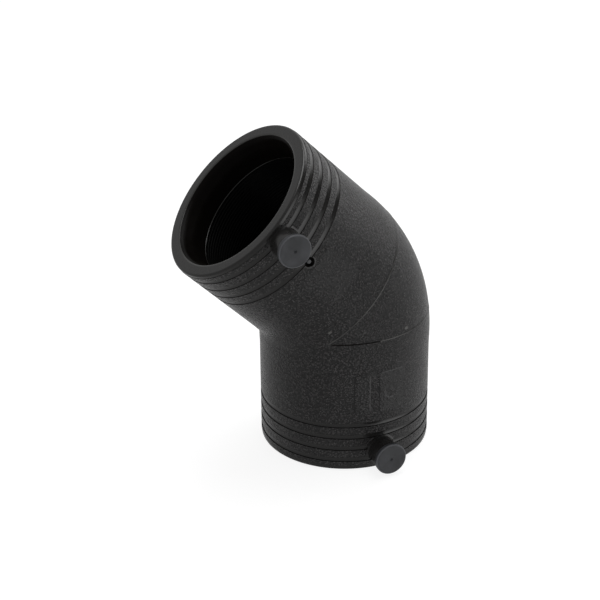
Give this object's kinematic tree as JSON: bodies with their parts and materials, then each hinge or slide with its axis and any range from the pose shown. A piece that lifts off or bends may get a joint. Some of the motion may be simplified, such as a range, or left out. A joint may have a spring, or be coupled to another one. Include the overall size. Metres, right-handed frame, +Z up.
{
  "type": "electrofusion elbow",
  "caption": "Black polyethylene 45 degree electrofusion elbow for 63 mm pipe, with two ring-grooved sockets, wire windings in the bores, shrouded terminals with caps, and a melt indicator.",
  "frame": {"origin": "centre of the lower socket's mouth, on the plane the elbow stands on", "axes": "+Z up the axis of the lower socket, towards the bend; the upper socket leans towards -X; both terminals face -Y"},
  "size_m": [0.1244, 0.093, 0.1608],
  "materials": {
    "pe_body": "moulded black polyethylene, fine leather grain on the barrel, satin on rim and panels",
    "pe_jacket": "fused polyethylene wire jacket, ribbed",
    "resistance_wire": "drawn copper-nickel wire",
    "terminal_brass": "turned brass",
    "pe_cap": "smooth moulded plastic, satin",
    "pe_indicator": "smooth moulded polyethylene"
  },
  "bodies": {
    "fitting": {"body": "pe_body", "wire_jacket_lower": "pe_jacket", "wire_jacket_upper": "pe_jacket", "heating_coil_lower": "resistance_wire", "heating_coil_upper": "resistance_wire", "terminal_pin_lower": "terminal_brass", "terminal_pin_upper": "terminal_brass"},
    "cap_lower": {"terminal_cap_lower": "pe_cap"},
    "cap_upper": {"terminal_cap_upper": "pe_cap"},
    "indicator_upper": {"melt_indicator_upper": "pe_indicator"}
  },
  "joints": [
    {"name": "cap_lower_pull", "type": "slide", "parent": "fitting", "child": "cap_lower", "axis": [0, -1, 0], "range_m": [0, 0.06]},
    {"name": "cap_upper_pull", "type": "slide", "parent": "fitting", "child": "cap_upper", "axis": [0, -1, 0], "range_m": [0, 0.06]},
    {"name": "indicator_upper_rise", "type": "slide", "parent": "fitting", "child": "indicator_upper", "axis": [0, -1, 0], "range_m": [0, 0.0025]}
  ]
}
